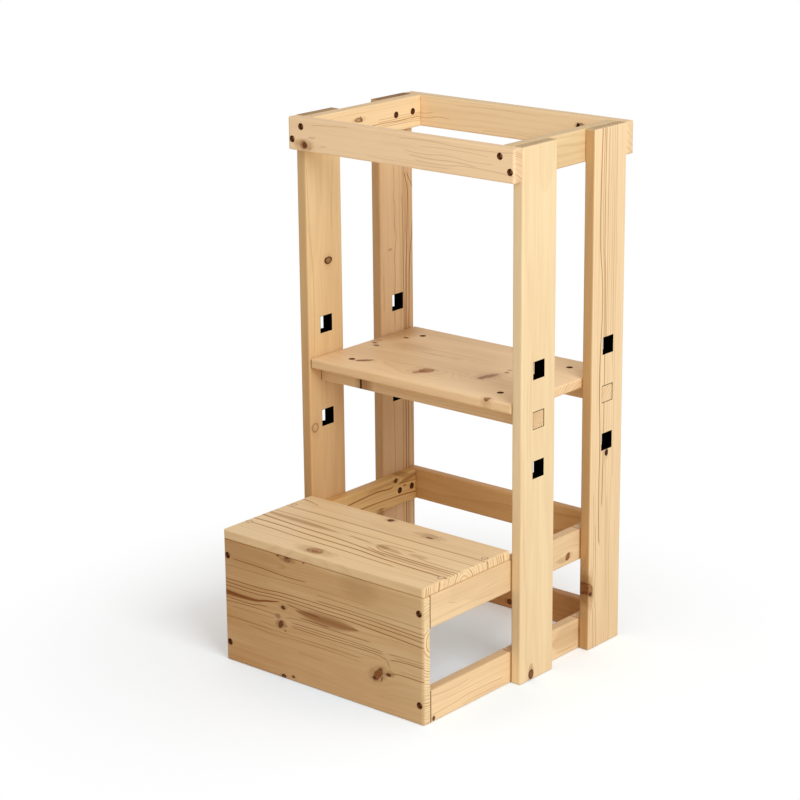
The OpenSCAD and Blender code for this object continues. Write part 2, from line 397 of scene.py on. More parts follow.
LEGS = {
    "leg_front_left": Board(
        Z, Y, 1.3, shade=0.05, fade=0.75, tone=(1.0, 1.0, 0.93), pith=(-30, -110), ring=5.5,
        contrast=0.12, mortised=True, end=0.9, edge=0.5,
        knots=[
            Knot(173.5, 7.5, 5.4, 7.8, 0.85, 1.0, 0.15, black=0.15),
            Knot(-87, -30, 7, 7, 0.05, 0.5, 0.1),
        ],
        lines=[
            Line(((30, -28), (100, -27), (160, -27), (200, -31), (260, -35), (330, -38)), 0.8, 0.3),
            Line(((150, -25), (180, -31), (240, -37)), 0.7, 0.2),
            Line(((220, 17), (260, 17), (300, 20), (330, 21)), 0.8, 0.2),
        ],
    ),
    "leg_front_right": Board(
        Z, Y, 7.9, shade=0.12, pith=(20, -150), ring=6, contrast=0.15, mortised=True, end=0.6,
        edge=0.05, tone=(0.96, 1.0, 1.0),
        knots=[
            Knot(-394, -14, 7, 5.5, 0.9, 0.9, 0.5, black=0.3),
        ],
        lines=[
            Line(((-110, -10), (-60, -16), (-20, -22), (40, -20), (110, -14)), 0.9, 0.14),
            Line(((-60, -24), (0, -27), (60, -25)), 0.9, 0.14),
        ],
    ),
    "leg_back_left": Board(
        Z, Y, 3.1, shade=0.42, pith=(70, -20), ring=5, contrast=0.15, mortised=True, end=1.0,
        edge=0.55, band=(22, 16, 0.3),
        knots=[
            Knot(163, -17, 1.4, 4.5, 0.35, 0.1, 0.25),
        ],
        lines=[
            Line(((-400, 22), (-200, 24), (0, 24.5), (60, 28), (100, 28.5), (140, 31), (180, 36),
                  (220, 39.5)), 1.1, 0.75),
            Line(((-400, 16), (-200, 18), (0, 19.5), (90, 21), (130, 21.5), (160, 24), (200, 25),
                  (240, 26), (258, 25), (270, 22), (285, 17.5)), 1.1, 0.85),
            Line(((-400, 11), (-100, 13), (60, 17), (100, 15), (130, 15), (160, 17), (200, 18),
                  (240, 18), (300, 17)), 0.8, 0.6),
            Line(((40, 9), (120, 11), (160, 13), (200, 14), (250, 12)), 0.8, 0.4),
            Line(((30, -7), (90, -6), (120, -5), (150, -6), (185, -2), (200, -5), (230, -4), (245, -7),
                  (265, -6), (300, -8)), 1.0, 0.45),
            Line(((180, -7), (210, -7), (250, -8)), 0.8, 0.3),
            Line(((250, 39.5), (262, 35), (272, 29), (284, 23)), 1.0, 0.8),
            Line(((60, -33), (125, -33)), 1.0, 0.3),
            Line(((-350, -12), (-200, -9), (-60, -14)), 1.0, 0.35),
            Line(((290, 30), (340, 24), (400, 20)), 0.9, 0.5),
        ],
    ),
    "leg_back_right": Board(
        Z, Y, 5.7, shade=0.05, pith=(80, 30), ring=5, contrast=0.16, mortised=True, end=0.6, edge=0.8,
        fade=0.1, band=(-10, 18, 0.2), tone=(0.97, 0.98, 0.98),
        knots=[
            Knot(-94, 0, 5, 4, 1.0, 0.9, 0.2, black=1.0),
            Knot(-305, -37, 12, 7.5, 0.8, 0.2, 0.5, slant=-0.5),
            Knot(-312, -36, 4, 3.4, 1.0, 0.3, 0.0, black=0.3),
        ],
        lines=[
            Line(((-180, -10), (-60, -8), (60, -8), (170, -8.5), (240, -12), (404, -11)), 1.3, 0.62),
            Line(((-240, -13), (-150, -18), (-80, -17), (20, -20), (150, -15.5), (250, -23),
                  (404, -20)), 1.4, 0.7),
            Line(((60, -5), (180, -4), (300, -4.5), (404, -3)), 1.2, 0.42),
            Line(((60, -12), (170, -11), (240, -16), (404, -15)), 1.2, 0.42),
            Line(((-140, 17), (60, 17), (250, 17), (404, 15)), 1.2, 0.25),
            Line(((40, 12), (200, 11), (404, 10)), 1.1, 0.22),
            Line(((80, 6), (200, 7), (404, 4)), 1.1, 0.22),
            Line(((-340, 6), (-260, 2), (-160, 3)), 1.1, 0.2),
            Line(((-404, -20), (-345, -22), (-316, -26), (-280, -24), (-200, -26)), 1.1, 0.35),
            Line(((-404, -28), (-350, -29), (-328, -33)), 1.1, 0.35),
            Line(((-290, -31), (-250, -29), (-150, -31)), 1.1, 0.35),
        ],
    ),
}

TOP_RAILS = {
    "top_rail_front": Board(
        X, Z, 11.2, shade=0.0, pith=(-70, -40), ring=4.2, contrast=0.14, warp=8.0, end=0.34,
        tone=(1.06, 1.02, 1.03), end_rings=0.6,
        knots=[
            Knot(-182, -15, 8.4, 7, 0.6, 0.1, 0.5),
            Knot(-180.5, -15, 5, 4.6, 1.0, 0.4, 0.0, black=0.25),
        ],
        streaks=[
            Streak(-166, -10, 9, 3, 0.2, 0.3),
        ],
        lines=[
            Line(((-152, -14.5), (-136, -12.5)), 0.8, 0.45),
            Line(((-170, 16), (-130, 19), (-90, 21)), 0.8, 0.25),
            Line(((20, -4), (60, -7), (100, -6), (150, -9)), 0.8, 0.3),
            Line(((10, 2), (50, -1), (90, 1), (140, -2), (180, -1)), 0.8, 0.25),
            Line(((30, -11), (80, -13), (130, -10), (208, -14)), 0.8, 0.3),
            Line(((0, 16), (60, 19), (120, 16), (208, 19)), 0.8, 0.25),
            Line(((40, 9), (110, 11), (170, 8)), 0.8, 0.2),
            Line(((-60, -16), (20, -18), (100, -17)), 0.8, 0.2),
        ],
    ),
    "top_rail_back": Board(
        X, Z, 13.4, shade=-0.02, pith=(60, 40), ring=5, contrast=0.12, warp=7.0,
        knots=[
            Knot(125.5, 8.5, 2.8, 4.6, 1.0, 1.0, 0.4, black=1.0),
            Knot(131, 10, 4.4, 3.2, 0.3, 0.9, 0.5),
        ],
        lines=[
            Line(((-214, 0), (-178, -4), (-160, -2), (-150, 1)), 0.9, 0.3),
            Line(((-214, -9), (-170, -11), (-140, -7), (-118, -13)), 0.9, 0.3),
            Line(((-60, -19), (0, -17), (60, -20)), 0.9, 0.2),
            Line(((-110, 15), (-20, 17), (60, 14)), 0.9, 0.15),
        ],
    ),
    "top_rail_left": Board(
        Y, Z, 17.8, shade=0.07, tone=(1.02, 1.02, 1.0), pith=(-80, 20), ring=4.5, contrast=0.14,
        knots=[
            Knot(-23, 5.5, 7.5, 3.4, 0.6, 0.75, 0.3, slant=-0.3),
            Knot(-17, 6, 2.6, 4.6, 0.5, 0.5, 0.0, slant=-0.4),
        ],
        lines=[
            Line(((20, -1), (60, -2), (90, -1.5), (125, -2.5)), 0.7, 0.4),
            Line(((20, -5), (60, -5.5), (125, -5)), 0.7, 0.45),
            Line(((-10, -8), (50, -8), (70, -8.8), (110, -8.4), (125, -9)), 0.9, 0.7),
            Line(((0, -11.5), (60, -11), (125, -12)), 0.7, 0.4),
            Line(((-30, -14), (40, -13.5), (125, -15)), 0.7, 0.4),
            Line(((-125, -10), (-60, -9), (-10, -11)), 0.8, 0.3),
            Line(((-125, 14), (-40, 16), (60, 14), (125, 17)), 0.8, 0.15),
        ],
    ),
    "top_rail_right": Board(
        Y, Z, 19.1, shade=0.2, pith=(40, -50), ring=4, even=0.5, contrast=0.16,
        tone=(0.91, 0.93, 0.88),
    ),
}

BASE_RAILS = {
    "step_rail_left": Board(
        Y, Z, 23.7, shade=0.52, pith=(-30, -26), ring=4.5, contrast=0.25, butt=0.6,
        tone=(1.08, 1.06, 0.82),
        knots=[
            Knot(156.5, 19, 3.9, 3.5, 1.0, 1.0, 0.4, black=0.5),
            Knot(178.5, 5.5, 2.8, 1.3, 0.8, 0.5, 0.3),
            Knot(119, -20.5, 5.5, 1.8, 0.6, 0.4, 0.3),
        ],
        streaks=[
            Streak(188, 15, 26, 7, 0.12, 0.6), Streak(176, 22, 14, 4, 0.0, 0.5),
            Streak(120, 17, 40, 3, 0.06, 0.3),
        ],
        lines=[
            Line(((-208, 5), (-100, 6), (0, 6), (50, 8.5), (80, 10.5), (110, 11.5), (130, 10),
                  (142, 9.2), (150, 12), (154, 15)), 2.0, 0.85, tip=0.6),
            Line(((-208, -9), (-60, -7), (83, -6.5), (110, -6.5), (150, -8), (165, -8.5), (190, -10.5),
                  (208, -12)), 1.2, 0.8),
            Line(((84, 17), (120, 18.5), (142, 16.5), (150, 12)), 0.8, 0.4),
            Line(((60, 3), (110, 4), (160, 2)), 0.7, 0.25),
            Line(((90, -1), (150, -3), (208, -5)), 0.7, 0.25),
            Line(((90, -13), (150, -14), (208, -17)), 0.7, 0.3),
            Line(((160, 13), (180, 11), (208, 9)), 0.9, 0.5),
            Line(((-200, -18), (-80, -17), (40, -19)), 0.8, 0.35),
        ],
    ),
    "step_rail_right": Board(
        Y, Z, 29.3, tone=(0.95, 0.95, 0.94), shade=0.2, pith=(10, -130), ring=6, contrast=0.16,
        butt=0.7, joints=(-23.5, 146.5),
        knots=[
            Knot(116, -11, 4.6, 5.6, 1.0, 0.75, 0.3, slant=0.35),
        ],
        streaks=[
            Streak(98, -12, 12, 4, 0.0, 0.35),
        ],
        lines=[
            Line(((-172, 4), (-160, 0), (-148, -2)), 0.8, 0.3),
            Line(((-100, -3), (-80, -1), (-50, 4)), 0.8, 0.15),
            Line(((-208, -14), (-150, -12), (-60, -15)), 0.8, 0.2),
            Line(((84, 2), (110, 4), (146, 0)), 0.8, 0.2),
        ],
    ),
    "step_rail_back": Board(
        X, Z, 31.9, shade=0.5, pith=(-40, -140), ring=6, contrast=0.2, tone=(1.12, 1.03, 0.8),
    ),
    "foot_rail_left": Board(
        Y, Z, 37.2, shade=0.5, pith=(8, -90), ring=5, contrast=0.3, butt=0.6,
    ),
    "foot_rail_right": Board(
        Y, Z, 41.6, shade=0.14, pith=(-44, -100), ring=5, contrast=0.18, butt=0.8,
        joints=(-23.5, 146.5), tone=(0.98, 0.97, 0.96),
        knots=[
            Knot(-203, -19.3, 2.8, 3.3, 1.0, 1.0, 0.2, black=0.6),
        ],
        streaks=[
            # Painted shadow: a broad brown patch where the front right leg and the step shade this
            # rail
            Streak(118, 2, 44, 30, 0.0, 0.3),
        ],
        lines=[
            Line(((-208, -13), (-160, -11), (-110, -8), (-80, -8.5), (-40, -10)), 0.9, 0.35),
            Line(((-208, 17), (-180, 14), (-150, 13), (-120, 16)), 0.9, 0.22),
            Line(((-190, -1), (-150, 2), (-90, 1)), 0.8, 0.15),
            Line(((-140, -20), (-90, -18), (-30, -21)), 0.9, 0.25),
            Line(((84, -14), (110, -16), (146, -14)), 0.9, 0.3),
        ],
    ),
    "foot_rail_back": Board(
        X, Z, 43.5, tone=(1.1, 1.05, 0.93), shade=0.8, pith=(42, -80), ring=5, contrast=0.35,
        knots=[
            Knot(15, -13, 4.5, 4, 0.9, 0.9, 0.5),
        ],
    ),
}

PANELS = {
    "riser_panel": Board(
        X, Z, 47.3, tone=(0.99, 1.05, 1.05), shade=0.6, pith=(24, 12), ring=4.2, end_rings=1.0,
        even=0.35, contrast=0.13, warp=2.2, sway=0.5, end=0.0, end_shade=-0.45, edge=0.1, fade=0.25,
        knots=[
            Knot(-75, 16.3, 3.4, 3.0, 1.0, 1.0, 0.6, black=0.4),
            Knot(-80.5, -11.5, 4.6, 6, 1.0, 0.6, 0.6, slant=0.33, black=0.2),
            Knot(-86, 0, 3.6, 3.2, 0.35, 0.4, 0.3),
            Knot(-72, -20, 1.5, 1.2, 0.9, 0.5, 0.2),
            Knot(-69, -12, 1.3, 1.1, 0.9, 0.5, 0.2),
            Knot(110, -40, 7.5, 12, 1.0, 0.3, 0.35, slant=0.56),
            Knot(102.5, -47.5, 3.4, 2.6, 0.9, 0.6, 0.0),
            Knot(117, -46, 1.6, 4, 0.8, 0.5, 0.0, slant=0.4),
            Knot(130, -36, 4, 2.5, 1.0, 0.8, 0.4, black=0.3),
            Knot(-65, 94, 7, 4, 0.55, 0.3, 0.4),
            Knot(-66, 96, 2.2, 1.3, 0.9, 0.7, 0.0),
            Knot(-84, 96, 3, 1.2, 0.9, 0.7, 0.2),
            Knot(-33, 96.5, 1.3, 1.0, 0.9, 0.7, 0.2),
            Knot(-77, -94, 4, 3, 1.0, 1.0, 0.3, black=0.4),
            Knot(-57, -90, 3, 2, 1.0, 0.8, 0.3),
        ],
        streaks=[
            Streak(12, 14.4, 64, 12.0, 0.0, 0.8),
        ],
        patches=[
            Patch(74, 84, 44, 26, 0.2), Patch(-150, 90, 80, 40, 0.16), Patch(150, -60, 60, 26, 0.06),
            Patch(135, -33, 9, 6, 0.35),
        ],
        lines=[
            Line(((-196, 13), (-135, 13.5), (-110, 18), (-90, 22), (-80, 24)), 5.2, 1.0, tip=0.15),
            Line(((-70, 24), (-55, 22.3), (-20, 19.5), (0, 18.5)), 1.3, 0.6),
            Line(((-45, 8.5), (-10, 8), (20, 8)), 1.1, 0.6),
            Line(((-180, 69.5), (-120, 68.7), (-60, 66.7), (-25, 68.5)), 0.8, 0.8),
            Line(((-196, 57), (-130, 57.5), (-60, 59.5), (0, 61.5), (100, 61.5)), 0.7, 0.35),
            Line(((-196, 48), (-100, 49)), 0.8, 0.18),
            Line(((-196, 35), (-130, 35.2), (-80, 38.5), (-60, 39.2), (0, 40), (70, 40), (130, 38.5),
                  (196, 36.5)), 0.7, 0.85),
            Line(((-196, 29.5), (-140, 29), (-100, 31.5), (-60, 33.5), (0, 33.5), (80, 33.5),
                  (196, 30)), 0.75, 0.85),
            Line(((-196, 24), (-140, 24), (-100, 26.5), (-40, 28.5), (0, 28), (60, 28), (100, 26.5),
                  (196, 22)), 1.0, 0.7),
            Line(((-10, 44), (60, 44.5), (120, 44), (196, 42)), 0.8, 0.65),
            Line(((-10, 53), (60, 53), (120, 52), (196, 51)), 0.8, 0.4),
            Line(((-196, 5.5), (-140, 5.2), (-125, 8), (-105, 9)), 0.9, 0.65),
            Line(((-196, -1.2), (-110, 1.5), (-88, 0.5)), 0.8, 0.6),
            Line(((-186, -8), (-90, -6)), 0.8, 0.35),
            Line(((-130, -17.5), (-88, -18)), 0.8, 0.3),
            Line(((125, -14), (129, -18), (132, -24), (135, -31)), 2.0, 0.65),
            Line(((-190, -26), (-140, -25), (-60, -25), (0, -24), (80, -24)), 0.8, 0.42),
            Line(((-150, -30), (-85, -31.5), (-60, -29.5), (80, -30)), 0.8, 0.35),
            Line(((-72, -0.5), (-66, 2), (-50, 4), (0, 5), (100, 5.5)), 0.8, 0.6),
            Line(((-62, -5), (-40, -3.5), (110, -3), (122, -4)), 0.8, 0.6),
            Line(((-62, -8), (0, -7), (110, -6.5), (124, -9)), 0.8, 0.65),
            Line(((-62, -10.5), (0, -10.8), (105, -10), (120, -12), (131, -17)), 0.8, 0.7),
            Line(((128, -4), (160, -2), (196, -1.5)), 0.8, 0.5),
            Line(((130, -14.5), (140, -11), (160, -9.5), (196, -9)), 0.8, 0.75),
            Line(((138, -7), (196, -5.5)), 0.8, 0.35),
            Line(((131, -34.5), (145, -31), (150, -30.5), (196, -30.3)), 0.9, 0.75),
            Line(((148, -25), (196, -24.5)), 0.8, 0.3),
            Line(((-6, -17), (116, -16.5)), 0.8, 0.28),
            Line(((-50, -48), (6, -48)), 0.8, 0.3),
            Line(((-81, 84.5), (-66, 80.5)), 0.8, 0.5),
            Line(((-86, 76.5), (-66, 80.5)), 0.8, 0.5),
        ],
    ),
    "step_tread": Board(
        X, Y, 53.9, shade=0.1, pith=(-9, -14), ring=6.0, even=0.2, contrast=0.12, warp=2.0,
        end_rings=1.0, tone=(0.98, 0.97, 0.94), sway=0.5, end=0.0,
        knots=[
            Knot(-25, -81.5, 16, 10.5, 0.6, 0.1, 0.3),
            Knot(-35.5, -85, 4.2, 3.2, 0.5, 0.1, 0.0),
            Knot(-24, -83, 7, 4.4, 0.6, 0.0, 0.0),
            Knot(-13, -83.5, 4.6, 3.4, 0.5, 0.1, 0.0),
            Knot(-23.6, 88, 4.8, 5.2, 1.0, 0.9, 0.4, black=0.6),
            Knot(68, 70, 13, 8.6, 0.15, 0.12, 0.3),
            Knot(71.5, 65.5, 7.4, 2.6, 1.0, 0.3, 0.0, black=0.4),
        ],
        streaks=[
            Streak(-135, -1.5, 92, 9, -0.03, 0.6), Streak(-5, -4.5, 27, 4, -0.08, 0.5),
            Streak(42, -8, 14, 6, -0.15, 0.3), Streak(57, -10.2, 29, 9, -0.15, 0.42),
        ],
        patches=[
            Patch(108, -5.2, 20, 7, 0.35), Patch(100, -28, 90, 9, 0.25), Patch(42, -7, 13, 9, 0.25),
        ],
        lines=[
            Line(((-196, 39.2), (-60, 39.8), (60, 39), (196, 39.2)), 1.8, 0.53),
            Line(((-196, 14), (0, 14.4), (90, 15), (196, 15.5)), 1.3, 0.49),
            Line(((-196, 77), (-172, 74), (-150, 66)), 2.2, 0.7, tip=0.3),
            Line(((-196, -13.2), (-145.7, -17), (-94, -19.6), (-43, -21), (-2, -24.8), (34, -28.6),
                  (76, -35.5)), 2.6, 0.7, tip=0.6),
            Line(((-196, -32.5), (-146, -32.5), (-94, -36), (-43, -37.6), (21, -39.2), (60, -42.8),
                  (111, -45.4), (196, -46.8)), 1.8, 0.84),
            Line(((-196, -49.2), (-146, -50), (-94, -53), (-43, -53.7), (8, -54.7), (60, -56.7),
                  (110, -58.5)), 1.6, 0.81, tip=0.6),
            Line(((30, -4), (36, 0), (49, 2.5), (70, 3.2), (96, 5)), 1.2, 0.7),
            Line(((30, -8.5), (36, -13), (49, -18.3), (70, -20.8), (111, -22.2),
                  (196, -23.6)), 1.2, 0.84),
            Line(((20, -19), (34, -22.2), (60, -27.3), (111, -28.6), (196, -30)), 1.1, 0.7),
            Line(((54, -33), (80, -35), (196, -36.5)), 1.1, 0.59),
            Line(((110, -9), (124, -12), (196, -15.7)), 1.1, 0.56),
            Line(((-196, 60), (-40, 62), (60, 58), (196, 61)), 1.2, 0.17),
            Line(((-196, -72), (-60, -73), (60, -74), (196, -72)), 1.2, 0.17),
        ],
    ),
}

PLATFORM = {
    "platform_board": Board(
        X, Y, 59.1, tone=(1.05, 1.01, 0.98), shade=-0.04, fade=0.3, pith=(50, -60), ring=6,
        end_rings=0.7, contrast=0.14, warp=5.0,
        knots=[
            Knot(-124, -79, 6.5, 11, 1.0, 0.2, 0.2, slant=0.8, black=0.25),
            Knot(-14.5, -63, 12.5, 13.5, 0.9, 0.05, 0.1, slant=0.1),
            Knot(-18.5, -77, 7.5, 11, 0.7, 0.1, 0.1, slant=0.3),
            Knot(78.5, -29, 7.5, 20, 0.85, 0.05, 0.2, slant=0.18),
            Knot(76, -45, 6, 4.5, 0.5, 0.2, 0.0, black=0.1),
            Knot(-178, 7, 3.4, 3.2, 1.0, 0.8, 0.3),
            Knot(-166, -3, 4, 3.4, 1.0, 0.8, 0.3, black=0.2),
            Knot(-158, 60, 3.6, 3.2, 1.0, 0.8, 0.3, black=0.4),
            Knot(88, 3, 3, 3, 1.0, 0.7, 0.2),
            Knot(84, 16, 3, 3, 0.2, 0.7, 0.2),
            Knot(148, -120, 5, 5, 0.9, 0.6, 0.3, depth=7, half_depth=4),
        ],
        streaks=[
            Streak(-60, 2, 30, 3.4, 0.0, 0.4), Streak(10, 10, 50, 2, -0.05, 0.2),
        ],
        patches=[
            # The two patches at the left back corner are painted shadow from the back left leg
            Patch(-115, 24, 42, 22, 0.2), Patch(-22, 15, 16, 7, 0.15), Patch(-200, 75, 50, 60, 0.5),
            Patch(-186, 20, 12, 12, 0.4),
        ],
        lines=[
            Line(((-194, -50), (-60, -51), (60, -51), (194, -50)), 0.6, 0.28),
            Line(((-194, 36), (-40, 35), (60, 37), (194, 35)), 0.6, 0.15),
        ],
    ),
    "platform_bar_front": Board(
        X, Y, 61.7, shade=0.2, pith=(26, -30), ring=3.0, even=0.9, contrast=0.15, end=0.0, warp=1.5,
        end_rings=1.0,
        knots=[
            Knot(-116, -12.5, 2.0, 9, 1.0, 0.6, 0.0, black=0.8),
            Knot(-109, -13, 7, 5, 0.3, 0.0, 0.5),
        ],
    ),
    "platform_bar_back": Board(
        X, Y, 67.3, shade=0.2, pith=(90, -90), ring=5, contrast=0.15, end=0.0, end_rings=0.6,
    ),
}

PLUGS = Board(Y, X, 71.9, shade=0.25, pith=(30, -60), ring=2.2, contrast=0.4)

PLUG_NODE = "tread_plugs"

PLUGGED_SCREWS = "tread_screws"

SCREW_NODES = {
    "top_rail_front_screws": Y,
    "top_rail_back_screws": Y,
    "top_rail_left_screws": X,
    "top_rail_right_screws": X,
    "riser_screws": Y,
    "base_back_screws": Y,
    "step_rail_left_screws": X,
    "step_rail_right_screws": X,
    "foot_rail_left_screws": X,
    "foot_rail_right_screws": X,
    "platform_screws": Z,
    "tread_screws": Z,
}

COUNTERBORE_RADIUS = 5.0
PLUG_RADIUS = 4.65
MORTISE_HALF = 13.0
LOWEST_SILL = 316.0
MORTISE_PITCH = 75.0
MORTISE_COUNT = 3
WALL_MARGIN = 0.2
SCREW_REACH = 9.0
WIDER_THAN_SHANK = 3.5


@dataclass
class ScrewPlace:
    """Where a screw of the frame seats, which way its head faces and how long it is"""

    seat: Vector
    facing: Vector
    length: float


def screw_places(node, axis):
    """The screws of one CAD node, found from its corners"""
    corners = [corner.co.copy() for corner in frame["nodes"][node].data.vertices]
    sides = [side for side in AXES if side != axis]
    groups = []
    for corner in corners:
        flat = Vector((corner[sides[0]], corner[sides[1]]))
        found = [group for first, group in groups if (first - flat).length < SCREW_REACH * MM]
        if found:
            found[0].append(corner)
        else:
            groups.append((flat, [corner]))
    return [screw_place(group, axis, sides) for first, group in groups]


def screw_place(corners, axis, sides):
    """One screw's seat, facing and length from its corners"""
    middle = [
        (min(c[side] for c in corners) + max(c[side] for c in corners)) / 2 for side in sides
    ]

    def spread(corner):
        return math.hypot(corner[sides[0]] - middle[0], corner[sides[1]] - middle[1])

    head = [corner[axis] for corner in corners if spread(corner) > WIDER_THAN_SHANK * MM]
    every = [corner[axis] for corner in corners]
    centre = (min(every) + max(every)) / 2
    way = 1.0 if sum(head) / len(head) > centre else -1.0
    seat_level = min(way * level for level in head) * way
    tip_level = min(way * level for level in every) * way
    seat = Vector((0, 0, 0))
    seat[sides[0]], seat[sides[1]] = middle
    seat[axis] = seat_level
    facing = Vector((0, 0, 0))
    facing[axis] = way
    return ScrewPlace(seat, facing, abs(seat_level - tip_level))


ALL_SCREWS = {node: screw_places(node, axis) for node, axis in SCREW_NODES.items()}


def holes_of(node):
    """The middles of a board's counterbores, in millimetres"""
    low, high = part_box(node)
    return [
        place.seat / MM
        for places in ALL_SCREWS.values()
        for place in places
        if all(low[axis] < place.seat[axis] < high[axis] for axis in AXES)
    ]


# Periods in millimetres along, across and through a board, step of the seed, and detail
NOISES = {
    "sway": ((300, 90, 90), 0, 1.0),
    "wobble": ((9, 5, 9), 3, 1.0),
    "chips": ((2.4, 1.6, 2.4), 4, 2.0),
    "swell": ((210, 60, 60), 5, 2.0),
    "ripple": ((38, 14, 14), 7, 1.0),
    "cloud": ((330, 40, 40), 11, 2.0),
    "flame": ((130, 5, 5), 13, 2.0),
    "fibre": ((22, 0.9, 0.9), 17, 2.0),
}

# How knots bend the grain, and how ragged they are
PUSH_STRETCH = 3.0
PUSH_SPREAD = 0.5
PUSH_SOFTNESS = 0.5
KNOT_WOBBLE = 0.24
KNOT_CHIPS = 0.16

# Where a knot's core, rim and halo end, in shares of its half sizes
CORE_END = (0.78, 0.98)
RIM_START = (0.6, 0.9)
RIM_END = (0.95, 1.25)
HALO_ALONG = 3.0
HALO_ACROSS = 1.6
HALO_WOBBLE = 0.3
HALO_END = (0.1, 1.0)
KNOT_RINGS = 2.4
KNOT_RING_RISE = (0.2, 0.9)
KNOT_RING_GAIN = 0.3
KNOT_RING_FLOOR = 0.75
KNOT_RING_CHIPS = 0.2

# Growth rings: how their radius wanders, bunches and darkens towards the late wood
PITH_DRIFT = 0.02
RIPPLE_REACH = 0.7
RING_WANDER = 0.16
RING_BUNCHING = 3
LATE_RISE = (0.35, 0.94)
LATE_FALL = (0.94, 1.0)
LATE_POWER = 1.7
BAND_END = (0.35, 1.6)
END_TURN = (0.55, 0.95)
EDGE_TURN = (0.5, 0.95)

# What darkens the bare wood
CLOUD_SHADE = 0.2
FLAME_SHADE = 0.15
BAND_SHADE = 0.2
FIBRE_SHADE = 0.06
FIBRE_MIDDLE = 0.5
FIBRE_SHARE = 0.35

# Streaks, patches and drawn lines
STREAK_RIPPLE = 1.2
STREAK_TIP = 0.02
STREAK_END = (0.1, 1.15)
PATCH_CLOUD = 0.3
PATCH_END = (0.2, 1.1)
LINE_MARGIN = 2.0
LINE_FADE = 8.0
LINE_CORE = 0.2
LINE_END = 1.2
LINE_RIPPLE = 0.3
LINE_FLAME = 0.4
LINE_GAIN = 1.3

# Shadows where boards meet, and the seam of a plug
BUTT_SHADOW = 1.6
JOINT_SHADOW = 3.0
JOINT_END = (0.2, 1.0)
JOINT_SHARE = 0.7
SEAM_FLAME = 0.5
SEAM_SHARE = 0.5

# Relief and roughness
FIBRE_RELIEF = 0.35
RING_RELIEF = 0.8
FLAME_RELIEF = 0.2
RELIEF_HEIGHT = 0.25 * MM
FIBRE_ROUGH = 0.05
FLAME_ROUGH = 0.04
END_ROUGH = 0.25
WOOD_SPECULAR = 0.2


@dataclass
class KnotMarks:
    """A knot's masks, its reach in shares of its half sizes, and its push on the grain"""

    core: Socket
    rim: Socket
    halo: Socket
    reach: Socket
    push: Socket


